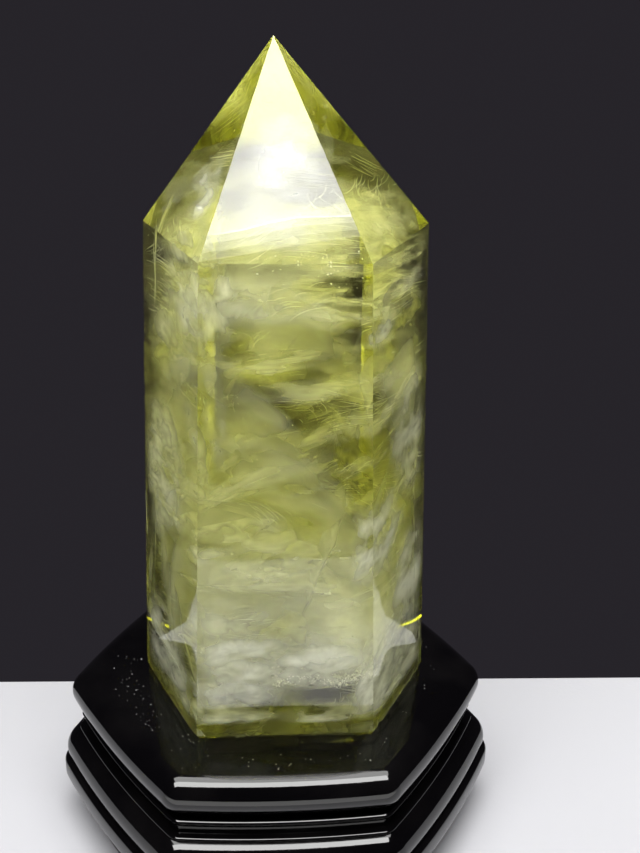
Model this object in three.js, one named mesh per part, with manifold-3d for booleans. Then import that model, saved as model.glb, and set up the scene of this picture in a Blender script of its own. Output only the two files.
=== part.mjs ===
// A polished citrine point: a six-sided tower of cloudy yellow quartz that tapers a little towards its
// shoulders and ends in a six-faced point. It stands loose on a low hexagonal stand of black-lacquered
// wood, with a half-round top edge, a thin bead, a lower moulding, a rounded rim and a plain plinth.
//
// Millimetres, +Z up. The origin is the middle of the stand's underside, and the stand's front faces -Y.

import * as THREE from "three";
import Module from "manifold-3d";

// ---------------------------------------------------------------- driving dimensions

// Stand: half widths are measured from the middle to the centre of a side.
const STAND_HEIGHT = 41;
const TOP_HALF_WIDTH = 45; // at the fullest line of the top plate's rounded edge
const TOP_EDGE_RADIUS = 4.95; // runs smoothly into the flat top
const NECK_HALF_WIDTH = 41;
const BEAD_HALF_WIDTH = 43.1;
const BEAD_DROP = 11.9;
const HOLLOW_HALF_WIDTH = 41.8; // between the two beads
const LOW_BEAD_HALF_WIDTH = 43.9;
const LOW_BEAD_DROP = 16;
const MOULDING_HALF_WIDTH = 47.3;
const MOULDING_DROP = 21.7;
const MOULDING_RADIUS = 5.5;
const RIM_HALF_WIDTH = 48.2;
const RIM_TOP_DROP = 25.8;
const RIM_BOTTOM_DROP = 28.4;
const RIM_UNDER_HALF_WIDTH = 45.4; // where the rim curves in over the plain plinth it stands on
const PLINTH_HALF_WIDTH = 43.5;
const PLINTH_HEIGHT = 10;
const PLINTH_BEVEL = 0.6;
const DEPTH_RATIO = 0.965; // the hexagon is a little shallower, front to back, than a regular one
const CORNER_RADIUS = 5; // at the top plate; the mouldings run parallel to it
const SIDE_BOW = 0.028; // how far each side bulges, over its length
const SIDE_STEPS = 4; // straight pieces along each side
const CORNER_STEPS = 4; // and round each corner
const PROFILE_STEPS = 5; // and along each curve of the profile

// Crystal: each shaft face by the way it faces (degrees from the front, anticlockwise seen from above),
// its distance from the crystal's own axis at the foot, and the angle it leans inwards by.
const SHAFT_FACES = [
  { turn: 0, reach: 28.4, lean: 1.0 },
  { turn: 62, reach: 31.0, lean: 2.0 },
  { turn: 118, reach: 29.3, lean: 1.0 },
  { turn: 179, reach: 29.5, lean: 1.5 },
  { turn: 239, reach: 29.2, lean: 1.8 },
  { turn: 293.5, reach: 30.1, lean: 2.0 },
];
// Height of the shoulder at the corner between each face above and the next one round.
const SHOULDER_HEIGHTS = [112.8, 112.1, 112.4, 112.6, 112.8, 113.2];
const APEX = new THREE.Vector3(-1.8, 0.1, 151);
const FOOT_BEVEL = 1.1; // height of the polished bevel round the foot
const FOOT_BEVEL_DEPTH = 0.8;
const CRYSTAL_PLACE = new THREE.Vector2(1.4, 1.2); // the crystal's axis on the stand's top
const RESTING_GAP = 0.3;

// Small chips knocked out of the foot's edge: the face they are in, how far along it from its middle
// (mm, anticlockwise), and their size.
const FOOT_CHIPS = [
  { face: 0, along: -10.5, size: 1.5 },
  { face: 0, along: 2.5, size: 0.8 },
  { face: 0, along: 6.2, size: 1.2 },
  { face: 1, along: -12.5, size: 2.0 },
  { face: 1, along: -6.5, size: 1.5 },
  { face: 5, along: 9.5, size: 1.1 },
];

// ---------------------------------------------------------------- shared shape helpers

const radians = THREE.MathUtils.degToRad;

// A closed surface through rings of equal length, listed from the lowest to the highest, each running
// anticlockwise seen from above. Fans to the two end points close it.
function loft(rings, bottomPoint, topPoint) {
  const count = rings[0].length;
  const points = [...rings.flat(), bottomPoint, topPoint];
  const bottom = points.length - 2;
  const top = points.length - 1;
  const lastRing = (rings.length - 1) * count;
  const index = [];
  for (let i = 0; i < count; i++) {
    const next = (i + 1) % count;
    index.push(bottom, next, i);
    for (let r = 0; r < lastRing; r += count) {
      index.push(r + i, r + next, r + count + next);
      index.push(r + i, r + count + next, r + count + i);
    }
    index.push(lastRing + i, lastRing + next, top);
  }
  const geometry = new THREE.BufferGeometry().setFromPoints(points);
  geometry.setIndex(index);
  return geometry;
}

// ---------------------------------------------------------------- stand

// One level line of the stand: a hexagon with bowed sides and rounded corners.
function standRing(halfWidth, height) {
  const cornerRadius = CORNER_RADIUS + halfWidth - TOP_HALF_WIDTH;
  const innerHalfWidth = halfWidth - cornerRadius;
  const side = 2 * innerHalfWidth * Math.tan(Math.PI / 6);
  const bulge = SIDE_BOW * side;
  const bowRadius = (side / 2) ** 2 / (2 * bulge) + bulge / 2;
  const bowCentre = bowRadius - innerHalfWidth; // how far behind the middle each side's arc is centred
  // Distance from the middle to the point where two neighbouring side arcs meet.
  const cornerReach =
    Math.sqrt(bowRadius ** 2 - (bowCentre / 2) ** 2) - bowCentre * Math.cos(Math.PI / 6);
  const halfSweep = Math.atan2(
    cornerReach / 2,
    cornerReach * Math.cos(Math.PI / 6) + bowCentre,
  );
  const ring = [];
  for (let face = 0; face < 6; face++) {
    const facing = -Math.PI / 2 + (face * Math.PI) / 3;
    for (let step = 0; step <= SIDE_STEPS; step++) {
      const angle = facing + halfSweep * ((2 * step) / SIDE_STEPS - 1);
      const reach = bowRadius + cornerRadius;
      ring.push([
        reach * Math.cos(angle) - bowCentre * Math.cos(facing),
        reach * Math.sin(angle) - bowCentre * Math.sin(facing),
      ]);
    }
    const cornerFacing = facing + Math.PI / 6;
    const cornerSweep = Math.PI / 3 - 2 * halfSweep;
    for (let step = 1; step < CORNER_STEPS; step++) {
      const angle = facing + halfSweep + (cornerSweep * step) / CORNER_STEPS;
      ring.push([
        cornerReach * Math.cos(cornerFacing) + cornerRadius * Math.cos(angle),
        cornerReach * Math.sin(cornerFacing) + cornerRadius * Math.sin(angle),
      ]);
    }
  }
  return ring.map(([x, y]) => new THREE.Vector3(x, y * DEPTH_RATIO, height));
}

// The stand's profile from the underside to the flat top, as (half width, height).
function standProfile() {
  const at = (drop) => STAND_HEIGHT - drop;
  const profile = new THREE.Path();
  // Plain plinth, then the rounded foot rim with an upright band.
  profile.moveTo(PLINTH_HALF_WIDTH - PLINTH_BEVEL, 0);
  profile.lineTo(PLINTH_HALF_WIDTH, PLINTH_BEVEL);
  profile.lineTo(PLINTH_HALF_WIDTH, PLINTH_HEIGHT);
  profile.lineTo(RIM_UNDER_HALF_WIDTH, PLINTH_HEIGHT);
  profile.quadraticCurveTo(
    RIM_HALF_WIDTH, PLINTH_HEIGHT + 0.2,
    RIM_HALF_WIDTH, at(RIM_BOTTOM_DROP),
  );
  profile.lineTo(RIM_HALF_WIDTH, at(RIM_TOP_DROP));
  profile.quadraticCurveTo(
    RIM_HALF_WIDTH, at(RIM_TOP_DROP) + 1.5,
    RIM_HALF_WIDTH - 2.7, at(RIM_TOP_DROP) + 1.6,
  );
  // Lower moulding: shallow below its fullest line, tall and rounded above it.
  profile.quadraticCurveTo(
    MOULDING_HALF_WIDTH, at(MOULDING_DROP) - 2.4,
    MOULDING_HALF_WIDTH, at(MOULDING_DROP),
  );
  const mouldingCentre = MOULDING_HALF_WIDTH - MOULDING_RADIUS;
  profile.absarc(mouldingCentre, at(MOULDING_DROP), MOULDING_RADIUS, 0, radians(72), false);
  // A thin bead, a hollow and another thin bead.
  profile.lineTo(LOW_BEAD_HALF_WIDTH - 0.2, at(LOW_BEAD_DROP) - 0.3);
  profile.quadraticCurveTo(
    LOW_BEAD_HALF_WIDTH + 0.1, at(LOW_BEAD_DROP) + 0.1,
    LOW_BEAD_HALF_WIDTH - 0.4, at(LOW_BEAD_DROP) + 0.35,
  );
  profile.lineTo(HOLLOW_HALF_WIDTH, at(LOW_BEAD_DROP) + 0.42);
  profile.quadraticCurveTo(
    HOLLOW_HALF_WIDTH - 0.2, (at(LOW_BEAD_DROP) + at(BEAD_DROP)) / 2,
    BEAD_HALF_WIDTH - 0.5, at(BEAD_DROP) - 0.55,
  );
  profile.quadraticCurveTo(
    BEAD_HALF_WIDTH + 0.5, at(BEAD_DROP),
    BEAD_HALF_WIDTH - 0.6, at(BEAD_DROP) + 0.55,
  );
  // Upright neck, then the half-round edge of the top plate.
  profile.lineTo(NECK_HALF_WIDTH, at(BEAD_DROP) + 0.65);
  profile.lineTo(NECK_HALF_WIDTH, at(BEAD_DROP) + 2.4);
  const edgeCentre = TOP_HALF_WIDTH - TOP_EDGE_RADIUS;
  profile.absarc(edgeCentre, at(TOP_EDGE_RADIUS), TOP_EDGE_RADIUS, radians(-66), radians(90), false);
  return profile;
}

function makeStand() {
  const points = standProfile().getPoints(PROFILE_STEPS);
  const rings = points.map((p) => standRing(p.x, p.y));
  const geometry = loft(
    rings,
    new THREE.Vector3(0, 0, 0),
    new THREE.Vector3(0, 0, STAND_HEIGHT),
  );
  const lacquer = new THREE.MeshStandardMaterial({ color: 0x0a090b, roughness: 0.15, metalness: 0 });
  const stand = new THREE.Mesh(geometry, lacquer);
  stand.name = "stand";
  return stand;
}

// ---------------------------------------------------------------- crystal

// The corner between shaft face i and the next one round, at a height, each face set in by an inset.
function shaftCorner(i, height, inset) {
  const faces = [SHAFT_FACES[i], SHAFT_FACES[(i + 1) % SHAFT_FACES.length]];
  const [a, b] = faces.map(({ turn, reach, lean }) => ({
    x: Math.sin(radians(turn)),
    y: -Math.cos(radians(turn)),
    reach: reach - inset - height * Math.tan(radians(lean)),
  }));
  const cross = a.x * b.y - a.y * b.x;
  return new THREE.Vector3(
    (a.reach * b.y - b.reach * a.y) / cross,
    (a.x * b.reach - b.x * a.reach) / cross,
    height,
  );
}

function crystalGeometry() {
  const corners = SHAFT_FACES.map((_, i) => i);
  return loft(
    [
      corners.map((i) => shaftCorner(i, 0, FOOT_BEVEL_DEPTH)),
      corners.map((i) => shaftCorner(i, FOOT_BEVEL, 0)),
      corners.map((i) => shaftCorner(i, SHOULDER_HEIGHTS[i], 0)),
    ],
    new THREE.Vector3(0, 0, 0),
    APEX,
  );
}

// A chip is a small three-sided bite, set on the foot's edge and turned so that it breaks both the
// bevel and the underside.
function chipGeometry({ face, along, size }, number) {
  const { turn, reach } = SHAFT_FACES[face];
  const bite = new THREE.OctahedronGeometry(size);
  bite.rotateX(0.4 + 0.9 * number);
  bite.rotateZ(0.7 * number);
  bite.scale(1.5, 1, 0.9);
  bite.translate(along, -reach, 0.15);
  bite.rotateZ(radians(turn));
  return bite;
}

const wasm = await Module();
wasm.setup();

function toSolid(geometry) {
  const positions = new Map();
  const place = geometry.getAttribute("position");
  const corners = geometry.index
    ? Array.from(geometry.index.array)
    : Array.from({ length: place.count }, (_, i) => i);
  const vertices = [];
  // Vertices at one place share a number, so that the surface is joined up all round.
  const numbers = corners.map((corner) => {
    const point = [place.getX(corner), place.getY(corner), place.getZ(corner)];
    const key = point.map((value) => value.toFixed(4)).join();
    if (!positions.has(key)) {
      positions.set(key, positions.size);
      vertices.push(...point);
    }
    return positions.get(key);
  });
  return new wasm.Manifold(
    new wasm.Mesh({
      numProp: 3,
      vertProperties: new Float32Array(vertices),
      triVerts: new Uint32Array(numbers),
    }),
  );
}

function toGeometry(solid) {
  const mesh = solid.getMesh();
  const geometry = new THREE.BufferGeometry();
  geometry.setAttribute("position", new THREE.BufferAttribute(mesh.vertProperties, 3));
  geometry.setIndex(new THREE.BufferAttribute(mesh.triVerts, 1));
  return geometry;
}

function makeCrystal() {
  const whole = toSolid(crystalGeometry());
  const chipped = FOOT_CHIPS.reduce(
    (solid, chip, number) => solid.subtract(toSolid(chipGeometry(chip, number))),
    whole,
  );
  const citrine = new THREE.MeshStandardMaterial({
    color: 0xa8a460,
    roughness: 0.05,
    metalness: 0,
    transparent: true,
    opacity: 0.75,
  });
  const crystal = new THREE.Mesh(toGeometry(chipped), citrine);
  crystal.name = "crystal";
  crystal.position.set(CRYSTAL_PLACE.x, CRYSTAL_PLACE.y, STAND_HEIGHT + RESTING_GAP);
  return crystal;
}

// ---------------------------------------------------------------- the object

const citrinePoint = new THREE.Group();
citrinePoint.name = "citrine_point_on_stand";
citrinePoint.add(makeStand(), makeCrystal());

export default citrinePoint;
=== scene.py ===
# %% [markdown]
# # A citrine point on its lacquered stand
#
# The object is a hand-polished tower of cloudy, greenish-yellow quartz with a six-faced point. It is set down
# on a low hexagonal stand of black-lacquered wood. This lesson dresses a fixed frame, two plain solids at
# their real size, with everything that makes the real thing worth looking at: a stone with depth, veils and
# cracks sealed inside it, and a lacquer that mirrors the light.
#
# The frame is loaded first and is never changed. The foot of the stone and the top of the stand are read from
# it, and the end of the lesson prints the box of the finished pieces.

# %% Load the fixed frame
import math
import random

import bmesh
import bpy
import numpy as np
from mathutils import Matrix, Vector


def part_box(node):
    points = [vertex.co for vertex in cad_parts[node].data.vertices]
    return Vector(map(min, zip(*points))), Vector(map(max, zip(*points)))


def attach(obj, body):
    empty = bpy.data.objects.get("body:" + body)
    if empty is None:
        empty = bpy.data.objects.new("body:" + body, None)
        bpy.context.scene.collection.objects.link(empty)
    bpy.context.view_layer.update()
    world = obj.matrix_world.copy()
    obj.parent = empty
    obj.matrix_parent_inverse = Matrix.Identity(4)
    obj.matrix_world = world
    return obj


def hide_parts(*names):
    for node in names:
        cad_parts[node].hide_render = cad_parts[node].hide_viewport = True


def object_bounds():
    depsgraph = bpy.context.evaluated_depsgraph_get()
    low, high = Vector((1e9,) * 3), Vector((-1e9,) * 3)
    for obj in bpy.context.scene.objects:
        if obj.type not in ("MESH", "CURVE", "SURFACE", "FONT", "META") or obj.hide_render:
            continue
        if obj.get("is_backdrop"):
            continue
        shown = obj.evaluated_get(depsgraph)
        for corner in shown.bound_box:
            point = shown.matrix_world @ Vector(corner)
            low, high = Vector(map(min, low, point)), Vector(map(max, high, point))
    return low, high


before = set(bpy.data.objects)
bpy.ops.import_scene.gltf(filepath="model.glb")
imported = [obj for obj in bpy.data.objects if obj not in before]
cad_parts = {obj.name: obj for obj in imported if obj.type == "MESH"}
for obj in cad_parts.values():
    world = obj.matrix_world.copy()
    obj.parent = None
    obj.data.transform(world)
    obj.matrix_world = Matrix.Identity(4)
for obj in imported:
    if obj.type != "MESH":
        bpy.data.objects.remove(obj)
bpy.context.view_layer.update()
stone_low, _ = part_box("crystal")
_, stand_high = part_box("stand")
MM = 0.001  # the scene is in metres, and the makers' sizes below are in millimetres

# %% [markdown]
# ## Small helpers
#
# Every piece here is a mesh built from points, so one helper turns points and faces into an object and gives
# it its material. Unless it belongs to the backdrop, it is also hung under the object's only body. A second
# one
# starts a material: all the finishes are built on the Principled shader, because it is the shader that
# carries over best to other programs. The last ones save typing when nodes are joined.

# %% Helpers for pieces and materials


def new_piece(name, points, faces, material, slot, smooth=False):
    mesh = bpy.data.meshes.new(name)
    mesh.from_pydata([tuple(p) for p in points], [], faces)
    mesh.materials.append(material)
    mesh.polygons.foreach_set("use_smooth", [smooth] * len(mesh.polygons))
    piece = bpy.data.objects.new(name, mesh)
    bpy.context.scene.collection.objects.link(piece)
    if slot is not None:
        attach(piece, "root")
    print(name, "has", len(mesh.polygons), "faces")
    return piece


def new_material(name, **values):
    material = bpy.data.materials.new(name)
    material.use_nodes = True
    shader = material.node_tree.nodes["Principled BSDF"]
    for socket, value in values.items():
        shader.inputs[socket.replace("_", " ")].default_value = value
    return material, material.node_tree, shader


def add_node(tree, kind, **settings):
    node = tree.nodes.new(kind)
    for name, value in settings.items():
        if name in node.inputs:
            node.inputs[name].default_value = value
        else:
            setattr(node, name, value)
    return node


def noise_field(tree, scale, detail, stretch=(1, 1, 1)):
    """Noise in the object's own metres. Scale is in lumps per metre, and stretch packs them along an axis."""
    place = add_node(tree, "ShaderNodeTexCoord")
    mapping = add_node(tree, "ShaderNodeMapping", Scale=stretch)
    noise = add_node(tree, "ShaderNodeTexNoise", Scale=scale, Detail=detail)
    tree.links.new(place.outputs["Object"], mapping.inputs["Vector"])
    tree.links.new(mapping.outputs["Vector"], noise.inputs["Vector"])
    return noise.outputs["Fac"]


def rescale(tree, value, low, high, to_low, to_high):
    """Maps low..high on to to_low..to_high, and holds it at those two ends."""
    node = add_node(tree, "ShaderNodeMapRange")
    for socket, number in zip(("From Min", "From Max", "To Min", "To Max"), (low, high, to_low, to_high)):
        node.inputs[socket].default_value = number
    tree.links.new(value, node.inputs["Value"])
    return node.outputs["Result"]


def combine(tree, how, first, second):
    node = add_node(tree, "ShaderNodeMath", operation=how)
    for socket, value in zip(node.inputs, (first, second)):
        if isinstance(value, (int, float)):
            socket.default_value = value
        else:
            tree.links.new(value, socket)
    return node.outputs["Value"]


def add_bump(tree, shader, height, strength, depth):
    bump = add_node(tree, "ShaderNodeBump", Strength=strength, Distance=depth)
    tree.links.new(height, bump.inputs["Height"])
    tree.links.new(bump.outputs["Normal"], shader.inputs["Normal"])


# %% [markdown]
# ## Camera
#
# The stone is looked at from close by and from above, so its sides lean together towards the foot. The camera
# is placed by where it looks, how far away it is, how steeply it looks down and how far it has walked round
# the stand. A slight roll finishes it, as with any camera held by hand.

# %% Camera
CAMERA_AIM = Vector((9.7 * MM, -0.6 * MM, stand_high.z + 66 * MM))
CAMERA_DISTANCE = 312.5 * MM
CAMERA_LOOKS_DOWN = math.radians(26.48)
CAMERA_WALKED_ROUND = math.radians(-3.5)
CAMERA_ROLL = math.radians(0.76)
LENS_MM = 59.1
SENSOR_MM = 36  # along its longer side, which stands upright here

camera_turn = (
    Matrix.Rotation(CAMERA_WALKED_ROUND, 3, "Z")
    @ Matrix.Rotation(math.pi / 2 - CAMERA_LOOKS_DOWN, 3, "X")
    @ Matrix.Rotation(CAMERA_ROLL, 3, "Z")
)
lens = bpy.data.cameras.new("camera")
lens.lens = LENS_MM
lens.sensor_width = SENSOR_MM
lens.clip_start = 0.01
camera = bpy.data.objects.new("camera", lens)
camera.matrix_world = Matrix.Translation(
    CAMERA_AIM + camera_turn @ Vector((0, 0, CAMERA_DISTANCE))
) @ camera_turn.to_4x4()
bpy.context.scene.collection.objects.link(camera)
bpy.context.scene.camera = camera
print("camera at", [round(v / MM) for v in camera.matrix_world.translation], "mm")

# %% [markdown]
# ## Light and table
#
# A clear stone shows its surroundings more than itself, so the surroundings matter as much as the stone. A
# big soft box hangs in front of it and above, and reaches back over it: it makes the front face of the
# point shine white, and draws the long white lines on the lacquer. Its lower edge is a skirt of three
# strips, each dimmer than the last, so that its mirror image in the face fades out. The part over the stone
# is dimmer too. The room is nearly dark. The pale table is small, so that the stone mirrors a white sheet
# with an edge, and the stone stands out against the dark behind it.

# %% Light
LIGHT_FROM_STONE = 620 * MM
LIGHT_SIDE = math.radians(-3.5)
LIT_HEIGHT = 115 * MM  # above the stone's foot
BOX_HALF_WIDTH = 31.0  # degrees, seen from the stone, as are the heights below
BOX_LOW, BOX_HIGH, BOX_RADIANCE = 49.7, 78.0, 13.6
BACK_HIGH, BACK_RADIANCE = 112.0, 6.0
SKIRT = ((49.2, 49.7, 9.5), (48.7, 49.2, 6.0), (48.2, 48.7, 3.0))  # from, to, radiance
BOX_TILT = math.radians(11)
LIGHT_COLOUR = (1.0, 0.995, 0.985)
ROOM_COLOUR = (0.02, 0.018, 0.0225, 1)

lit_point = Vector((0, 0, stone_low.z + LIT_HEIGHT))


def add_panel(name, low, high, half_width, radiance):
    middle = math.radians((low + high) / 2)
    way = Matrix.Rotation(LIGHT_SIDE, 3, "Z") @ Vector((0, -math.cos(middle), math.sin(middle)))
    panel = bpy.data.lights.new(name, "AREA")
    panel.shape = "RECTANGLE"
    panel.size = 2 * LIGHT_FROM_STONE * math.tan(math.radians(half_width))
    height = 2 * LIGHT_FROM_STONE * math.tan(math.radians(high - low) / 2)
    panel.size_y = height * math.cos(BOX_TILT)
    panel.energy = radiance * math.pi * panel.size * panel.size_y
    panel.color = LIGHT_COLOUR
    holder = bpy.data.objects.new(name, panel)
    turn = way.to_track_quat("Z", "Y").to_matrix() @ Matrix.Rotation(BOX_TILT, 3, "Z")
    holder.matrix_world = Matrix.Translation(lit_point + way * LIGHT_FROM_STONE) @ turn.to_4x4()
    bpy.context.scene.collection.objects.link(holder)
    print(name, "gives", round(panel.energy, 2), "W")


for low, high, radiance in SKIRT:
    add_panel("soft_box_skirt", low, high, BOX_HALF_WIDTH, radiance)
add_panel("soft_box", BOX_LOW, BOX_HIGH, BOX_HALF_WIDTH, BOX_RADIANCE)
add_panel("soft_box_back", BOX_HIGH, BACK_HIGH, BOX_HALF_WIDTH, BACK_RADIANCE)

room = bpy.data.worlds.new("dark_room")
room.use_nodes = True
room.node_tree.nodes["Background"].inputs["Color"].default_value = ROOM_COLOUR
bpy.context.scene.world = room
bpy.context.scene.view_settings.view_transform = "Standard"

# %% Table
TABLE_BACK = 50 * MM
TABLE_FRONT = -180 * MM
TABLE_HALF_WIDTH = 260 * MM
TABLE_THICKNESS = 4 * MM
TABLE_TURN = math.radians(-1.6)
TABLE_COLOUR = (0.41, 0.41, 0.43, 1)
SLAB_FACES = [(3, 2, 1, 0), (4, 5, 6, 7)] + [(i, (i + 1) % 4, 4 + (i + 1) % 4, 4 + i) for i in range(4)]


def slab_corners(half_width, front, back, bottom, top, turn):
    """The eight corners of a flat sheet, turned about the middle of the stand."""
    outline = ((-half_width, front), (half_width, front), (half_width, back), (-half_width, back))
    return [Matrix.Rotation(turn, 3, "Z") @ Vector((x, y, z)) for z in (bottom, top) for x, y in outline]


table_paper, tree, shader = new_material("table_paper", Roughness=0.75, Base_Color=TABLE_COLOUR)
shader.inputs["Specular IOR Level"].default_value = 0.25
add_bump(tree, shader, noise_field(tree, 900, 4), 0.15, 0.2 * MM)
table_corners = slab_corners(
    TABLE_HALF_WIDTH, TABLE_FRONT, TABLE_BACK, -TABLE_THICKNESS, 0, TABLE_TURN
)
table = new_piece("table", table_corners, SLAB_FACES, table_paper, None)
table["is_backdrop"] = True

# %% [markdown]
# A sheet of white card lies on the table in front of the stand. It is an old studio trick against a dull
# foot: the polished front face mirrors it, and it throws light up into the stone.

# %% White card in front
CARD_BACK = -85 * MM
CARD_FRONT = -178 * MM
CARD_HALF_WIDTH = 150 * MM
CARD_BOTTOM, CARD_TOP = 0.1 * MM, 1 * MM
CARD_COLOUR = (0.86, 0.86, 0.86, 1)

white_card, tree, shader = new_material("white_card", Roughness=0.8, Base_Color=CARD_COLOUR)
shader.inputs["Specular IOR Level"].default_value = 0.2
add_bump(tree, shader, noise_field(tree, 700, 3), 0.1, 0.1 * MM)
card_corners = slab_corners(
    CARD_HALF_WIDTH, CARD_FRONT, CARD_BACK, CARD_BOTTOM, CARD_TOP, CAMERA_WALKED_ROUND
)
card = new_piece("white_card", card_corners, SLAB_FACES, white_card, None)
card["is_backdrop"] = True

# %% [markdown]
# ## How the stone lets light through
#
# Path-traced glass needs enough bounces, or its inside goes black. Light enters through one face, passes the
# clouds inside, is mirrored by the far faces and leaves again, so the limits for glass and gloss are raised
# above their defaults. The limit for matt surfaces stays as it is. The clouds are thin sheets that light
# passes many times, so transparent bounces get the highest limit.

# %% Light paths
cycles = bpy.context.scene.cycles
cycles.max_bounces = 16
cycles.transmission_bounces = 16
cycles.glossy_bounces = 8
cycles.diffuse_bounces = 4
cycles.transparent_max_bounces = 64
cycles.caustics_reflective = True
cycles.caustics_refractive = True
cycles.blur_glossy = 0.3
cycles.sample_clamp_indirect = 25.0
print("paths up to", cycles.max_bounces, "bounces")

# %% [markdown]
# ## The lacquered stand
#
# The stand is one block of wood, cut to a hexagon with slightly bowed sides and rounded corners, and
# moulded all round: a half-round top edge, an upright neck, two thin beads with a hollow between, a fuller
# moulding and a rounded rim over a plain plinth. The quickest way to such a shape is a loft: one profile,
# swept through rings. Each ring is the same hexagon at another width and height. The frame's solid has the
# same profile in few steps, so this finer one takes its place.

# %% The profile of the stand


def curve(start, control, end, steps=9):
    """Points on a quadratic curve, without its first one."""
    found = []
    for i in range(1, steps + 1):
        t = i / steps
        found.append(
            tuple((1 - t) ** 2 * a + 2 * t * (1 - t) * b + t * t * c for a, b, c in zip(start, control, end))
        )
    return found


def arc(centre_x, centre_y, radius, from_degrees, to_degrees, steps=28):
    angles = [math.radians(from_degrees + (to_degrees - from_degrees) * i / steps) for i in range(steps + 1)]
    return [(centre_x + radius * math.cos(a), centre_y + radius * math.sin(a)) for a in angles]


STAND_TOP = stand_high.z / MM
PLINTH, PLINTH_TOP, PLINTH_BEVEL = 43.5, 10.0, 0.6
RIM_UNDER, RIM, RIM_LOW, RIM_HIGH = 45.4, 48.2, STAND_TOP - 28.4, STAND_TOP - 25.8
MOULDING, MOULDING_MIDDLE, MOULDING_RADIUS = 47.3, STAND_TOP - 21.7, 5.5
LOW_BEAD, LOW_BEAD_MIDDLE = 43.9, STAND_TOP - 16
HOLLOW = 41.8
BEAD, BEAD_MIDDLE = 43.1, STAND_TOP - 11.9
NECK = 41.0
TOP_EDGE, TOP_EDGE_RADIUS = 45.0, 4.95

profile = [(PLINTH - PLINTH_BEVEL, 0.0), (PLINTH, PLINTH_BEVEL)]
profile += [(PLINTH, PLINTH_TOP), (RIM_UNDER, PLINTH_TOP)]
profile += curve((RIM_UNDER, PLINTH_TOP), (RIM, PLINTH_TOP + 0.2), (RIM, RIM_LOW))
profile += curve((RIM, RIM_HIGH), (RIM, RIM_HIGH + 1.5), (RIM - 2.7, RIM_HIGH + 1.6))
profile += curve(profile[-1], (MOULDING, MOULDING_MIDDLE - 2.4), (MOULDING, MOULDING_MIDDLE))
profile += arc(MOULDING - MOULDING_RADIUS, MOULDING_MIDDLE, MOULDING_RADIUS, 0, 72)[1:]
profile.append((LOW_BEAD - 0.2, LOW_BEAD_MIDDLE - 0.3))
low_bead_end = (LOW_BEAD - 0.4, LOW_BEAD_MIDDLE + 0.35)
profile += curve(profile[-1], (LOW_BEAD + 0.1, LOW_BEAD_MIDDLE + 0.1), low_bead_end, 5)
profile.append((HOLLOW, LOW_BEAD_MIDDLE + 0.42))
hollow_middle = (LOW_BEAD_MIDDLE + BEAD_MIDDLE) / 2
profile += curve(profile[-1], (HOLLOW - 0.2, hollow_middle), (BEAD - 0.5, BEAD_MIDDLE - 0.55), 12)
profile += curve(profile[-1], (BEAD + 0.5, BEAD_MIDDLE), (BEAD - 0.6, BEAD_MIDDLE + 0.55), 6)
profile += [(NECK, BEAD_MIDDLE + 0.65), (NECK, BEAD_MIDDLE + 2.4)]
profile += arc(TOP_EDGE - TOP_EDGE_RADIUS, STAND_TOP - TOP_EDGE_RADIUS, TOP_EDGE_RADIUS, -66, 90)
print("the profile has", len(profile), "points")

# %% [markdown]
# A ring is drawn once, as a shape that can be widened: six side arcs of a large circle, joined by six corner
# arcs. Its width is in the same millimetres as the profile.

# %% One ring of the stand
SIDE_BOW = 0.028  # how far a side bulges, over its length
CORNER_RADIUS = 5.0  # at the top plate; the mouldings run parallel to it
DEPTH_RATIO = 0.965
SIDE_STEPS = 24
CORNER_STEPS = 16


def stand_ring(half_width, height):
    corner_radius = CORNER_RADIUS + half_width - TOP_EDGE
    inner = half_width - corner_radius
    side = 2 * inner * math.tan(math.pi / 6)
    bulge = SIDE_BOW * side
    bow_radius = (side / 2) ** 2 / (2 * bulge) + bulge / 2
    bow_centre = bow_radius - inner
    corner_reach = math.sqrt(bow_radius**2 - (bow_centre / 2) ** 2) - bow_centre * math.cos(math.pi / 6)
    half_sweep = math.atan2(corner_reach / 2, corner_reach * math.cos(math.pi / 6) + bow_centre)
    corner_sweep = math.pi / 3 - 2 * half_sweep
    ring = []
    for face in range(6):
        facing = -math.pi / 2 + face * math.pi / 3
        for step in range(SIDE_STEPS + 1):
            a = facing + half_sweep * (2 * step / SIDE_STEPS - 1)
            reach = bow_radius + corner_radius
            x = reach * math.cos(a) - bow_centre * math.cos(facing)
            y = reach * math.sin(a) - bow_centre * math.sin(facing)
            ring.append(Vector((x, y * DEPTH_RATIO, height)) * MM)
        corner = facing + math.pi / 6
        for step in range(1, CORNER_STEPS):
            a = facing + half_sweep + corner_sweep * step / CORNER_STEPS
            x = corner_reach * math.cos(corner) + corner_radius * math.cos(a)
            y = corner_reach * math.sin(corner) + corner_radius * math.sin(a)
            ring.append(Vector((x, y * DEPTH_RATIO, height)) * MM)
    return ring


# %% [markdown]
# Black lacquer is a deep, almost colourless coat over wood. Nearly all that is seen of it is reflection, so
# its finish lies in how clean that reflection is: a soft orange-peel ripple from the brush, a slightly
# duller gloss in patches where it has been handled, and fine scratches from dusting.

# %% Black lacquer
LACQUER_IOR = 1.52
FRESH_BLACK = (0.0009, 0.0008, 0.001, 1)
WORN_BLACK = (0.003, 0.0027, 0.0028, 1)

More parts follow.
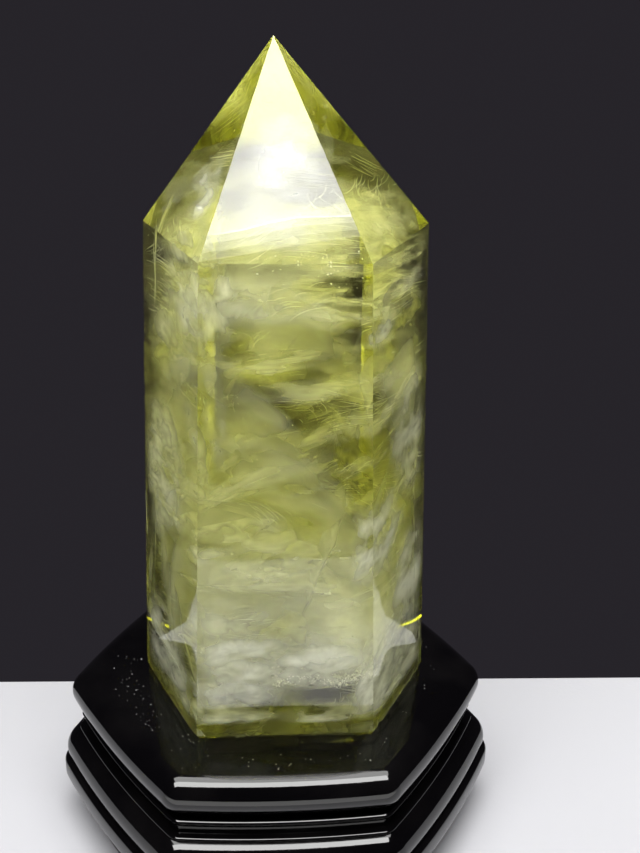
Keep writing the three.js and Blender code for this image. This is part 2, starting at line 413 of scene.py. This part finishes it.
black_lacquer, tree, shader = new_material("black_lacquer", IOR=LACQUER_IOR)
handled = noise_field(tree, 60, 3)
scratches = noise_field(tree, 220, 2, stretch=(1, 14, 1))
gloss = combine(
    tree,
    "ADD",
    rescale(tree, handled, 0.35, 0.7, 0.035, 0.1),
    rescale(tree, scratches, 0.66, 0.8, 0.0, 0.16),
)
tree.links.new(gloss, shader.inputs["Roughness"])
worn = add_node(tree, "ShaderNodeMix", data_type="RGBA")
worn.inputs["A"].default_value = FRESH_BLACK
worn.inputs["B"].default_value = WORN_BLACK
tree.links.new(rescale(tree, handled, 0.4, 0.75, 0, 1), worn.inputs["Factor"])
tree.links.new(worn.outputs["Result"], shader.inputs["Base Color"])
ripple = combine(tree, "ADD", noise_field(tree, 420, 2), combine(tree, "MULTIPLY", scratches, 0.15))
add_bump(tree, shader, ripple, 0.05, 0.25 * MM)

# %% Loft the stand
STAND_CREASE = math.radians(24)  # steeper bends than this are drawn as edges

rings = [stand_ring(half_width, height) for half_width, height in profile]
ring_size = len(rings[0])
stand_points = [p for ring in rings for p in ring] + [Vector((0, 0, 0)), Vector((0, 0, stand_high.z))]
under, top = len(stand_points) - 2, len(stand_points) - 1
stand_faces = []
for i in range(ring_size):
    j = (i + 1) % ring_size
    stand_faces.append((under, j, i))
    stand_faces.append(((len(rings) - 1) * ring_size + i, (len(rings) - 1) * ring_size + j, top))
    for k in range(len(rings) - 1):
        low, high = k * ring_size, (k + 1) * ring_size
        stand_faces.append((low + i, low + j, high + j, high + i))
stand = new_piece("lacquered_stand", stand_points, stand_faces, black_lacquer, "lacquered_wood", smooth=True)
stand.data.set_sharp_from_angle(angle=STAND_CREASE)
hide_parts("stand")

# %% [markdown]
# Nothing shows dust like black lacquer. Pale grains lie thinly spread on the flat top, a few of them in a
# drift beside the stone's foot, where a cloth doesn't reach. Each is a tiny closed mesh.

# %% Dust on the lacquer
DUST_GRAINS = 150
DUST_REACH = (40, 38)  # in mm from the middle, across and deep
DRIFT_SHARE = 0.15
DRIFT = ((-31, 7), (-16, 12))  # its middle and spread in mm, across and deep
FINE_GRAIN, COARSE_GRAIN = (0.04, 0.16), (0.16, 0.3)  # in mm
FINE_SHARE = 0.9
FLAT_TOP = 37.5  # in mm from the middle to where the top plate starts to round off
STONE_PLACE = (1.4, 1.2)  # the middle of the stone's foot on the stand, in mm
STONE_FOOT = 33.5  # in mm from its middle to the widest corner

dust_grey, _, _ = new_material("dust_grey", Base_Color=(0.42, 0.42, 0.42, 1), Roughness=0.9)
dust = random.Random(5)


def grain(place, size):
    """A speck of dust, a small uneven pyramid that stands on its three corners."""
    turn = dust.uniform(0, 6.3)
    rim = [
        place + Vector((math.cos(turn + a), math.sin(turn + a), 0)) * size * dust.uniform(0.5, 1.3)
        for a in (0, 2.1, 4.2)
    ]
    return rim + [place + Vector((0, 0, size * dust.uniform(0.3, 0.8)))]


dust_points, dust_faces = [], []
while len(dust_points) < 4 * DUST_GRAINS:
    drifts = dust.random() < DRIFT_SHARE
    x, y = (dust.uniform(-reach, reach) for reach in DUST_REACH)
    if drifts:
        x, y = (dust.gauss(drift_middle, spread) for drift_middle, spread in DRIFT)
    off_the_top = max(abs(x) * 0.87 + abs(y) * 0.5, abs(y)) > FLAT_TOP
    if off_the_top or math.hypot(x - STONE_PLACE[0], y - STONE_PLACE[1]) < STONE_FOOT:
        continue
    first = len(dust_points)
    size = dust.uniform(*(FINE_GRAIN if dust.random() < FINE_SHARE else COARSE_GRAIN))
    dust_points += grain(Vector((x * MM, y * MM, stand_high.z)), size * MM)
    dust_faces += [(first + i, first + (i + 1) % 3, first + 3) for i in range(3)]
    dust_faces.append((first + 2, first + 1, first))
new_piece("dust_on_the_stand", dust_points, dust_faces, dust_grey, "lacquered_wood")

# %% [markdown]
# ## The shape of the stone
#
# The stone is cut flat all over, so its shape is a short list of planes: six shaft faces, six faces on the
# point, the foot and the narrow bevel round it. They are read from the frame's solid, by gathering its
# triangles by the way they face. The same list later answers a question that every cloud and crack asks: how
# far is it from here to the stone's skin?

# %% Read the stone's faces
SMALLEST_FACE = 20 * MM * MM
SAME_WAY = 0.99999  # the cosine between two faces that count as one

rough_stone = bmesh.new()
rough_stone.from_mesh(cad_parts["crystal"].data)
bmesh.ops.remove_doubles(rough_stone, verts=rough_stone.verts, dist=0.002 * MM)
planes = []
for face in rough_stone.faces:
    for plane in planes:
        if plane["way"].dot(face.normal) > SAME_WAY:
            plane["area"] += face.calc_area()
            break
    else:
        way = face.normal.copy()
        planes.append({"way": way, "reach": way.dot(face.verts[0].co), "area": face.calc_area()})
planes = [p for p in planes if p["area"] > SMALLEST_FACE]
plane_ways = np.array([p["way"] for p in planes])
plane_reach = np.array([p["reach"] for p in planes])
print("the stone has", len(planes), "cut faces")

# %% [markdown]
# The skin itself is the frame's solid, with its flat faces joined up again and every edge broken by a
# hair's breadth, as polishing does. That tiny bevel is what draws the thin bright line along each edge. The
# chips in the foot's edge come with the solid.

# %% The stone's skin
EDGE_BREAK = 0.22 * MM

bmesh.ops.dissolve_limit(
    rough_stone, angle_limit=math.radians(0.6), verts=rough_stone.verts, edges=rough_stone.edges
)
sharp = [e for e in rough_stone.edges if e.is_manifold and e.calc_face_angle() > math.radians(12)]
bmesh.ops.bevel(
    rough_stone, geom=sharp, offset=EDGE_BREAK, segments=2, profile=0.5, affect="EDGES", clamp_overlap=True
)

# %% [markdown]
# Hand polishing also rolls each face over a little towards the long edges. It is far too little to see in
# the outline, but a mirror shows it: what is reflected flares out next to the edge. Cuts beside the long
# edges give the skin enough points, and these are then pushed in by a fraction of a millimetre, most at the
# edge itself. The roll stops short of the point, whose faces are truly flat.

# %% Roll the faces over towards the long edges
ROLL_WIDTH = 5.5 * MM
ROLL_STEEPNESS = 0.06
ROLL_CUTS = (0.5, 0.9, 1.4, 2.0, 2.7, 3.5, 4.4, 5.5, 6.2)  # in mm from the neighbouring face
CREASE = 0.3 * MM  # within this of the edge, the skin is pushed in along both faces' ways
ROLL_FADE = 8 * MM  # the roll dies away over this depth under the point's faces

shaft_planes = [p for p in planes if abs(p["way"].z) < 0.2]
point_planes = [p for p in planes if p["way"].z > 0.2]
for plane in shaft_planes:
    for cut in ROLL_CUTS:
        bmesh.ops.bisect_plane(
            rough_stone,
            geom=rough_stone.verts[:] + rough_stone.edges[:] + rough_stone.faces[:],
            plane_co=plane["way"] * (plane["reach"] - cut * MM),
            plane_no=plane["way"],
        )
for point in rough_stone.verts:
    depths = sorted((p["reach"] - p["way"].dot(point.co), i) for i, p in enumerate(shaft_planes))
    (near, first), (far, second) = depths[:2]
    under_shoulder = min(p["reach"] - p["way"].dot(point.co) for p in point_planes)
    fade = min(1, max(0, under_shoulder / ROLL_FADE))
    roll = ROLL_STEEPNESS * ROLL_WIDTH * max(0, 1 - far / ROLL_WIDTH) ** 2 * fade
    share = 0.5 * max(0, 1 - (far - near) / CREASE)
    inward = shaft_planes[first]["way"] * (1 - share) + shaft_planes[second]["way"] * share
    point.co -= inward * roll / inward.length_squared
bmesh.ops.triangulate(rough_stone, faces=[f for f in rough_stone.faces if len(f.verts) > 4])
skin_points = [v.co.copy() for v in rough_stone.verts]
skin_faces = [[v.index for v in f.verts] for f in rough_stone.faces]

# %% [markdown]
# Citrine is quartz, with a refractive index of 1.544. Its colour isn't on its surface but in its depth: a
# plain absorption that takes blue away fastest, so thin parts are pale and long paths are golden olive. The
# polish is nearly perfect. Only a slow waviness of the hand-held grinding and some faint smudges break the
# reflections.

# %% Citrine
QUARTZ_IOR = 1.544
DEPTH_COLOUR, DEPTH_DENSITY = (0.975, 0.978, 0.46, 1), 38.0
STONE_CREASE = math.radians(8)

citrine, tree, shader = new_material("citrine", Base_Color=(1, 1, 1, 1), IOR=QUARTZ_IOR)
shader.inputs["Transmission Weight"].default_value = 1.0
smudges = noise_field(tree, 45, 4, stretch=(1, 1, 0.5))
tree.links.new(rescale(tree, smudges, 0.45, 0.8, 0.0, 0.05), shader.inputs["Roughness"])
add_bump(tree, shader, noise_field(tree, 38, 1), 0.06, 1.2 * MM)
absorption = add_node(tree, "ShaderNodeVolumeAbsorption", Color=DEPTH_COLOUR, Density=DEPTH_DENSITY)
tree.links.new(absorption.outputs["Volume"], tree.nodes["Material Output"].inputs["Volume"])

stone = new_piece("polished_stone", skin_points, skin_faces, citrine, "citrine", smooth=True)
stone.data.set_sharp_from_angle(angle=STONE_CREASE)
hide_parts("crystal")

# %% [markdown]
# ## Clouds and veils
#
# The stone isn't clear. Milky veils run through it, left by tiny bubbles caught on cracks that healed while
# it grew. Blender could scatter light in a volume instead, but a volume is slow, noisy and lost in other
# programs. So each veil is what it is in nature: a thin, rippled sheet inside the stone, clear in one place
# and white in another. Many of them, one behind the other, add up to a glowing cloud with real depth.
#
# The patterns come from noise that is worked out here, point by point, rather than in the shader. A shader
# would work it out again for every ray that crosses a sheet, and each ray crosses many.

# %% Noise and depth, for many points at once
NOISE_LAYERS = 4
STONE_AXIS = (1.2, 1.1)  # in mm from the middle of the stand, within 0.3 mm of the stone's own axis


def soft_noise(points, lump, seed):
    """Smooth noise from 0 to 1. A lump is the size of its patches in metres."""
    lattice = np.random.default_rng(seed).random((32, 32, 32))
    cell = np.floor(points / lump).astype(int)
    part = points / lump - cell
    part = part * part * (3 - 2 * part)
    total = 0
    for corner in np.ndindex(2, 2, 2):
        weight = np.where(corner, part, 1 - part).prod(axis=1)
        total = total + weight * lattice[tuple((cell + corner).T % 32)]
    return total


def cloud_noise(points, lump, seed, fall):
    """Layers of noise, each twice as fine as the last and weaker by the factor fall. It runs from 0 to 1."""
    weights = [fall**k for k in range(NOISE_LAYERS)]
    total = sum(w * soft_noise(points + 0.37 * k, lump / 2**k, seed + k) for k, w in enumerate(weights))
    return np.clip((total / sum(weights) - 0.5) * 2.2 + 0.5, 0, 1)


def skin_depth(points):
    """How deep each point lies in the stone. It is negative outside."""
    return (plane_reach - points @ plane_ways.T).min(axis=1)


def in_stone(across, deep, height):
    """A place in the stone, in millimetres from its own axis and above its foot."""
    place = np.array((STONE_AXIS[0] + across, STONE_AXIS[1] + deep, height))
    return place * MM + np.array((0, 0, stone_low.z))


def unit(way):
    return np.array(way) / np.linalg.norm(way)


# %% [markdown]
# A sheet is drawn as a disc of spokes and circles round its middle. Each spoke stops at the sheet's own
# uneven edge, or just under the stone's skin if that comes first. Ripples then lift the points. Where the
# skin slants over a sheet, as it does in the stone's point, a lifted point can end up outside: a few of the
# smoke's do, by less than a tenth of a millimetre. A number called milk is kept at each point: 0 where the
# sheet can't be seen, 1 where it is solid white.

# %% One veil
SKIN_CLEARANCE = 0.3 * MM


def spoke_room(middle, ways):
    """How far it is from a point in the stone to its skin, along each way."""
    towards = ways @ plane_ways.T
    room_left = plane_reach - plane_ways @ middle - SKIN_CLEARANCE
    return np.where(towards > 1e-6, room_left / np.maximum(towards, 1e-6), np.inf).min(axis=1)


def veil_sheet(middle, way_up, size, ripple, milk_at, seed, spokes=88, circles=22):
    """The points, triangles and milk of one sheet through middle, square to way_up."""
    way_up = unit(way_up)
    side = unit(np.cross(way_up, (0.31, 0.95, 0.05)))
    turns = np.linspace(0, 2 * math.pi, spokes, endpoint=False)
    ways = np.outer(np.cos(turns), side) + np.outer(np.sin(turns), np.cross(way_up, side))
    uneven = 0.7 + 0.6 * soft_noise(ways, 0.7, seed)
    reach = np.minimum(spoke_room(middle, ways), size * uneven)
    share = np.concatenate([[0], np.repeat(np.arange(1, circles + 1) / circles, spokes)])
    out_to_rim = np.concatenate([[middle * 0], np.tile(ways * reach[:, None], (circles, 1))])
    flat = middle + out_to_rim * share[:, None]
    level = flat * (1, 1, 2)
    lift = soft_noise(level, 20 * MM, seed + 1) + 0.25 * soft_noise(level, 7 * MM, seed + 2) - 0.62
    points = flat + np.outer(lift * ripple * (1 - share**6), way_up)
    milk = milk_at(points) * np.clip((1 - share) * 1.7, 0, 1)
    spoke, after = np.arange(spokes), np.roll(np.arange(spokes), -1)
    triangles = [np.stack([spoke * 0, 1 + spoke, 1 + after], axis=1)]
    for low in 1 + spokes * np.arange(circles - 1):
        triangles.append(low + np.stack([spoke, spokes + spoke, spokes + after], axis=1))
        triangles.append(low + np.stack([spoke, spokes + after, after], axis=1))
    return points, np.concatenate(triangles), milk


# %% [markdown]
# Sheets of one kind are joined into one object. Each goes in with its milk as an attribute, which the
# material reads as its alpha. The white itself is as matt as chalk: a veil has no surface, so it has no
# gloss.
#
# Light can only come in through the skin, by bending, and Blender's straight shadow rays all end there. So
# the pieces inside the stone are left out of them, which saves time. Triangles that are too thin to see are
# dropped too, because every ray would still have to cross them.

# %% Join sheets into a piece
LEAST_MILK = 0.07


def sealed_piece(name, parts, material, smooth=True):
    """One object from several (points, triangles, milk), without the triangles that are too thin to see."""
    points, milk = (np.concatenate([part[k] for part in parts]) for k in (0, 2))
    starts = np.cumsum([0] + [len(p) for p, _, _ in parts[:-1]])
    triangles = np.concatenate([t + start for start, (_, t, _) in zip(starts, parts)])
    triangles = triangles[milk[triangles].max(axis=1) > LEAST_MILK]
    used, triangles = np.unique(triangles, return_inverse=True)
    points, milk, triangles = points[used], milk[used], triangles.reshape(-1, 3)
    mesh = bpy.data.meshes.new(name)
    mesh.vertices.add(len(points))
    mesh.vertices.foreach_set("co", points.astype(np.float32).ravel())
    mesh.loops.add(triangles.size)
    mesh.loops.foreach_set("vertex_index", triangles.astype(np.int32).ravel())
    mesh.polygons.add(len(triangles))
    mesh.polygons.foreach_set("loop_start", np.arange(0, triangles.size, 3, dtype=np.int32))
    mesh.polygons.foreach_set("use_smooth", np.full(len(triangles), smooth))
    mesh.update(calc_edges=True)
    layer = mesh.attributes.new("milk", "FLOAT", "POINT")
    layer.data.foreach_set("value", milk.astype(np.float32))
    mesh.materials.append(material)
    piece = bpy.data.objects.new(name, mesh)
    piece.visible_shadow = False
    bpy.context.scene.collection.objects.link(piece)
    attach(piece, "root")
    print(name, "has", len(triangles), "triangles")
    return piece


veil_white, tree, shader = new_material("veil_white", Base_Color=(0.9, 0.91, 0.88, 1), Roughness=1.0)
shader.inputs["Specular IOR Level"].default_value = 0.0
milk_value = add_node(tree, "ShaderNodeAttribute", attribute_name="milk")
tree.links.new(milk_value.outputs["Fac"], shader.inputs["Alpha"])

# %% [markdown]
# ### Deep clouds
#
# Deep inside, the stone glows evenly. That body is made by large sheets with soft edges, some upright and
# some leaning, turned every way, which keep away from the skin. Light goes in and out through a few
# centimetres of citrine to reach them, so they look golden olive although they are white.

# %% Deep clouds
DEEP_CLOUDS = 17
DEEP_RIPPLE = 5 * MM
DEEP_STRIDE = 7  # each cloud turns on from the last by this many of the DEEP_CLOUDS steps in a half turn
DEEP_LUMP = 22 * MM
DEEP_START, DEEP_FADE = 1 * MM, 7 * MM  # under the skin, where the clouds begin, and how fast they thicken
DEEP_HEIGHTS = (3, 12, 50, 98, 110, 151)  # in mm above the foot
DEEP_STRENGTHS = (0.2, 0.95, 0.66, 0.42, 0.14, 0.1)  # at those heights
chance = np.random.default_rng(20)


def deep_milk(seed):
    def milk_at(points):
        pattern = cloud_noise(points * (1, 1, 2), DEEP_LUMP, seed, fall=0.5)
        from_skin = np.clip((skin_depth(points) - DEEP_START) / DEEP_FADE, 0, 1)
        height = (points[:, 2] - stone_low.z) / MM
        at_height = np.interp(height, DEEP_HEIGHTS, DEEP_STRENGTHS)
        return np.clip((pattern + 0.1) / 0.75, 0, 1) * from_skin * at_height

    return milk_at


def place_in_stone(low, high, depth):
    """A random place between two heights, at least so deep in the stone. All are in millimetres."""
    while True:
        place = in_stone(*chance.uniform(-31, 31, 2), chance.uniform(low, high))
        if skin_depth(place[None])[0] > depth * MM:
            return place


parts = []
for number in range(DEEP_CLOUDS):
    turn = math.pi * number / DEEP_CLOUDS * DEEP_STRIDE
    way_up = (math.cos(turn), math.sin(turn), chance.uniform(-0.9, 0.9))
    middle = place_in_stone(14, 118, 9)
    size = chance.uniform(18, 32) * MM
    parts.append(veil_sheet(middle, way_up, size, DEEP_RIPPLE, deep_milk(1000 + number), 10 * number))
sealed_piece("deep_clouds", parts, veil_white)

# %% [markdown]
# ### Lying veils
#
# Nearly level veils cross the stone from side to side. Seen from the front they're foreshortened, so even
# round patches on them look like long combed wisps. The stone is milkiest near the foot and in a band under
# the shoulders, where the veils lie closest, and clearest in the middle and in the point. Four sheets in the
# middle rise to the right.

# %% Lying veils
# height above the foot in mm, lean in degrees, the side that it leans down to in degrees, milk from 0 to 1
LYING_VEILS = (
    (9, 14, 100, 0.6), (13, 8, 300, 1.0), (18, 5, 20, 0.9), (23, 12, 250, 0.8),
    (28, 6, 150, 0.8), (33, 10, 60, 0.8), (38, 4, 330, 0.9), (43, 7, 180, 1.0), (47, 12, 260, 0.7),
    (53, 16, 200, 0.5), (59, 20, 175, 0.6), (65, 24, 190, 0.6), (70, 18, 170, 0.5), (76, 10, 220, 0.5),
    (82, 8, 320, 0.5), (88, 9, 120, 0.6), (93, 4, 240, 0.6), (96, 7, 30, 0.65), (99, 3, 160, 0.6),
    (102, 6, 280, 0.6), (105, 4, 90, 0.5), (108, 7, 210, 0.25), (116, 20, 140, 0.2),
    (124, 12, 20, 0.2), (134, 18, 230, 0.2),
)
LYING_RIPPLE = 3 * MM


def lying_milk(seed, strength):
    def milk_at(points):
        streaks = cloud_noise(points, 8 * MM, seed, fall=0.7)
        pattern = 0.62 * streaks + 0.5 * soft_noise(points, 22 * MM, seed + 9)
        near_skin = np.clip(skin_depth(points) / (1.5 * MM), 0.25, 1)
        return np.clip((pattern - 0.38) / 0.45, 0, 1) ** 1.3 * near_skin * 0.85 * strength

    return milk_at


parts = []
for number, (height, lean, towards, strength) in enumerate(LYING_VEILS):
    lean, towards = math.radians(lean), math.radians(towards)
    way_up = (math.sin(lean) * math.cos(towards), math.sin(lean) * math.sin(towards), math.cos(lean))
    middle = place_in_stone(height - 0.5, height + 0.5, 4)
    size = chance.uniform(26, 46) * MM
    milk_at = lying_milk(2000 + 10 * number, strength)
    parts.append(veil_sheet(middle, way_up, size, LYING_RIPPLE, milk_at, 500 + 10 * number))
sealed_piece("lying_veils", parts, veil_white)

# %% [markdown]
# ### Smoke under the faces
#
# Some of the milk stands in soft patches just under the skin, like breath on a window. Those that a viewer
# meets first, under the front face, beside the front corners of the foot and in the point, are listed one
# by one. Every other shaft face gets a few of its own by chance.

# %% Smoke under the faces
# place across, deep and high in mm from the axis and the foot, half width and half height in mm, milk
FRONT_SMOKE = (
    (-17, -20, 102, 9, 8, 0.7), (-4, -22, 104, 17, 5, 0.6), (19, -20, 96.5, 7, 2.4, 0.85),
    (-14, -20, 78, 8, 15, 0.35), (-3, -20, 53, 5, 3.5, 0.45), (2, -19, 46, 22, 3, 0.38),
    (-4, -19, 40, 20, 4, 0.32), (8, -19, 33, 15, 4, 0.32), (-12, -22, 30, 14, 6, 0.5),
    (10, -22, 26, 14, 6, 0.5), (-10, -24, 22, 14, 6, 0.95), (9, -24, 20, 14, 6, 0.95),
    (-10, -24, 15, 14, 6, 0.95), (8, -24, 17, 14, 5, 0.95), (-12, -25, 11, 13, 4, 0.9),
    (-12, -24, 4, 13, 4, 0.85), (10, -24, 4, 13, 4, 0.85), (-22, -12, 9, 10, 6, 0.9),
    (22, -12, 9, 10, 6, 0.9), (-22, -14, 4, 9, 4, 0.85), (22, -14, 4, 9, 4, 0.85),
    (-15, -12, 124, 7, 9, 0.5),
    (0, -14.5, 128, 11, 12, 0.5), (0, -20.5, 119, 18, 6, 0.3),
)
SMOKE_ON_A_FACE = 6
SMOKE_RIPPLE = 2.5 * MM
SMOKE_STRENGTH = 0.95  # of the patches that are placed by chance
SMOKE_HEIGHTS, SMOKE_DEPTHS = (5, 40, 60), (2, 3, 5)  # above the foot, and least depth there, in mm


def smoke_milk(middle, half_width, half_height, seed, strength):
    def milk_at(points):
        off = (points - middle) / (half_width * MM, half_width * MM, half_height * MM)
        fade = np.clip(1.1 - np.linalg.norm(off, axis=1), 0, 1)
        pattern = cloud_noise(points * (1, 1, 2.2), 9 * MM, seed, fall=0.7)
        return np.clip(fade * 1.6, 0, 1) * np.clip(pattern * 1.3 - 0.1, 0, 1) * strength

    return milk_at


def smoke_patch(middle, half_width, half_height, strength, seed):
    outward = plane_ways[(plane_reach - plane_ways @ middle).argmin()]
    milk_at = smoke_milk(middle, half_width, half_height, seed, strength)
    size = 1.2 * max(half_width, half_height) * MM
    return veil_sheet(middle, outward, size, SMOKE_RIPPLE, milk_at, seed, spokes=60, circles=15)


parts = []
for number, (across, deep, height, half_width, half_height, strength) in enumerate(FRONT_SMOKE):
    middle = in_stone(across, deep, height)
    parts.append(smoke_patch(middle, half_width, half_height, strength, 4000 + 10 * number))
other_shaft_ways = [way for way in plane_ways if abs(way[2]) < 0.2 and way[1] > -0.9]
for way in other_shaft_ways:
    along = unit(np.cross(way, (0, 0, 1)))
    for _ in range(SMOKE_ON_A_FACE):
        height = chance.uniform(5, 105)
        on_axis = in_stone(0, 0, height)
        depth = np.interp(height, SMOKE_HEIGHTS, SMOKE_DEPTHS) + chance.uniform(0, 4)
        under_skin = spoke_room(on_axis, way[None])[0] - depth * MM
        middle = on_axis + way * under_skin + along * chance.uniform(-9, 9) * MM
        if skin_depth(middle[None])[0] > 1 * MM:
            half_width, half_height = chance.uniform(11, 15), chance.uniform(9, 18)
            seed = 5000 + 10 * len(parts)
            parts.append(smoke_patch(middle, half_width, half_height, SMOKE_STRENGTH, seed))
sealed_piece("smoke", parts, veil_white)

# %% [markdown]
# ### Hair-thin wisps
#
# The finest veils are no more than scratches of white. Each is a closed thread with pointed ends, and they
# come in combed bundles that lie in nearly level planes.

# %% Wisps
WISP_BUNDLES = 60
WISPS_IN_BUNDLE = 12
WISP_STEPS = 9
WISP_LENGTH, WISP_THICKNESS = (3, 12), (0.03, 0.08)  # least and most, in mm
WISP_CLEARANCE = 0.2 * MM

wisp_white, tree, shader = new_material("wisp_white", Base_Color=(0.95, 0.96, 0.92, 1), Roughness=0.9)
shader.inputs["Specular IOR Level"].default_value = 0.1


def wisp(start, way, bend, length, thickness):
    """A thread with pointed ends, three-sided, which bends as it goes."""
    along = np.linspace(-0.5, 0.5, WISP_STEPS)
    line = start + np.outer(along * length, way) + np.outer((along**2) * length, bend)
    width = thickness * (1 - (2 * along) ** 2) ** 0.5 / 2
    side = unit(np.cross(way, (0, 0, 1)))
    rim = [side * math.cos(a) + np.cross(way, side) * math.sin(a) for a in (0, 2.1, 4.2)]
    threes = [line[k] + width[k] * np.array(rim) for k in range(1, WISP_STEPS - 1)]
    points = np.concatenate([line[:1], *threes, line[-1:]])
    last = len(points) - 1
    triangles = []
    for i in range(3):
        j = (i + 1) % 3
        triangles += [(0, 1 + j, 1 + i), (last, last - 3 + i, last - 3 + j)]
        for low in range(1, last - 3, 3):
            triangles += [(low + i, low + j, low + 3 + j), (low + i, low + 3 + j, low + 3 + i)]
    return points, np.array(triangles), np.ones(len(points))


parts = []
for _ in range(WISP_BUNDLES):
    middle = place_in_stone(3, 116, 2)
    turn = chance.uniform(0, math.pi)
    way = unit((math.cos(turn), math.sin(turn), chance.normal(0, 0.12)))
    bend = np.cross(way, (0, 0, 1)) * chance.normal(0, 0.3) + np.array((0, 0, chance.normal(0, 0.12)))
    for _ in range(WISPS_IN_BUNDLE):
        start = middle + chance.normal(0, 1, 3) * (3 * MM, 3 * MM, 1.1 * MM)
        turned = unit(way + chance.normal(0, 0.05, 3))
        length, thickness = chance.uniform(*WISP_LENGTH) * MM, chance.uniform(*WISP_THICKNESS) * MM
        thread = wisp(start, turned, bend, length, thickness)
        if skin_depth(thread[0]).min() > WISP_CLEARANCE:
            parts.append(thread)
sealed_piece("wisps", parts, wisp_white)

# %% [markdown]
# ### Cracks and specks
#
# Fresh cracks and trapped grains are what sparkle. They are small, flat and glossy, and they lie at all
# angles, so only a few of them catch the light at a time. One crack runs from the middle of the front to its
# right side, a little above the foot, and a cluster of glints sits under the lower edge of the point's front
# face.

# %% Cracks and specks
LOOSE_SPECKS = 420
CRACK_FLAKES = 2600
CRACK_HEIGHT = 14.4  # above the foot in mm
SHOULDER_GLINTS = 70
SHOULDER_HEIGHT = 113  # above the foot in mm

glint, tree, shader = new_material("glint", Base_Color=(0.97, 0.97, 0.93, 1), Roughness=0.25)
shader.inputs["Specular IOR Level"].default_value = 0.9


def flake(middle, way, size, stretch=1.0):
    """A tiny closed flake, a flattened pyramid on three corners."""
    side = unit(np.cross(way, chance.normal(0, 1, 3)))
    across = np.cross(way, side)
    corners = [
        middle + size * chance.uniform(0.6, 1.3) * (math.cos(a) * side * stretch + math.sin(a) * across)
        for a in np.array((0, 2.1, 4.2)) + chance.uniform(-0.4, 0.4, 3)
    ]
    points = np.array(corners + [middle + way * size * 0.25])
    return points, np.array(((0, 2, 1), (0, 1, 3), (1, 2, 3), (2, 0, 3))), np.ones(4)


parts = []
for _ in range(LOOSE_SPECKS):
    middle, way = place_in_stone(1, 142, 0.8), unit(chance.normal(0, 1, 3))
    parts.append(flake(middle, way, chance.uniform(0.06, 0.22) * MM))
for _ in range(CRACK_FLAKES):
    across, deep = chance.uniform(-3, 22), chance.triangular(-26, -25, -12)
    height = CRACK_HEIGHT + 0.1 * (deep + 26) + 0.8 * math.sin(across * 0.4) + chance.normal(0, 0.55)
    middle = in_stone(across, deep, height)
    if skin_depth(middle[None])[0] > 0.5 * MM:
        way = unit(chance.normal(0, 1, 3) + (0, -1, 1))
        parts.append(flake(middle, way, chance.uniform(0.05, 0.22) * MM, 1.6))
for _ in range(SHOULDER_GLINTS):
    across, deep = chance.normal(9, 7), -25 + chance.uniform(0, 3)
    middle = in_stone(across, deep, chance.normal(SHOULDER_HEIGHT, 2.2))
    if skin_depth(middle[None])[0] > 0.3 * MM:
        parts.append(flake(middle, unit(chance.normal(0, 1, 3)), chance.uniform(0.1, 0.35) * MM))
sealed_piece("cracks_and_specks", parts, glint, smooth=False)

# %% [markdown]
# ## The CAD nodes' own finish
#
# Both solids of the frame are stood in for by finer pieces, and stay hidden. They still get the same
# finishes, so that nothing in the scene is left plain.

# %% Finish for the frame's nodes
for node, material in (("crystal", citrine), ("stand", black_lacquer)):
    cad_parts[node].data.materials.clear()
    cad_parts[node].data.materials.append(material)

# %% [markdown]
# ## The box of the finished pieces
#
# The box that the finished pieces fill is printed in millimetres.

# %% Print the finished box
low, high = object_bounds()
print("finished box in mm:", [round(v / MM, 1) for v in (*low, *high)])
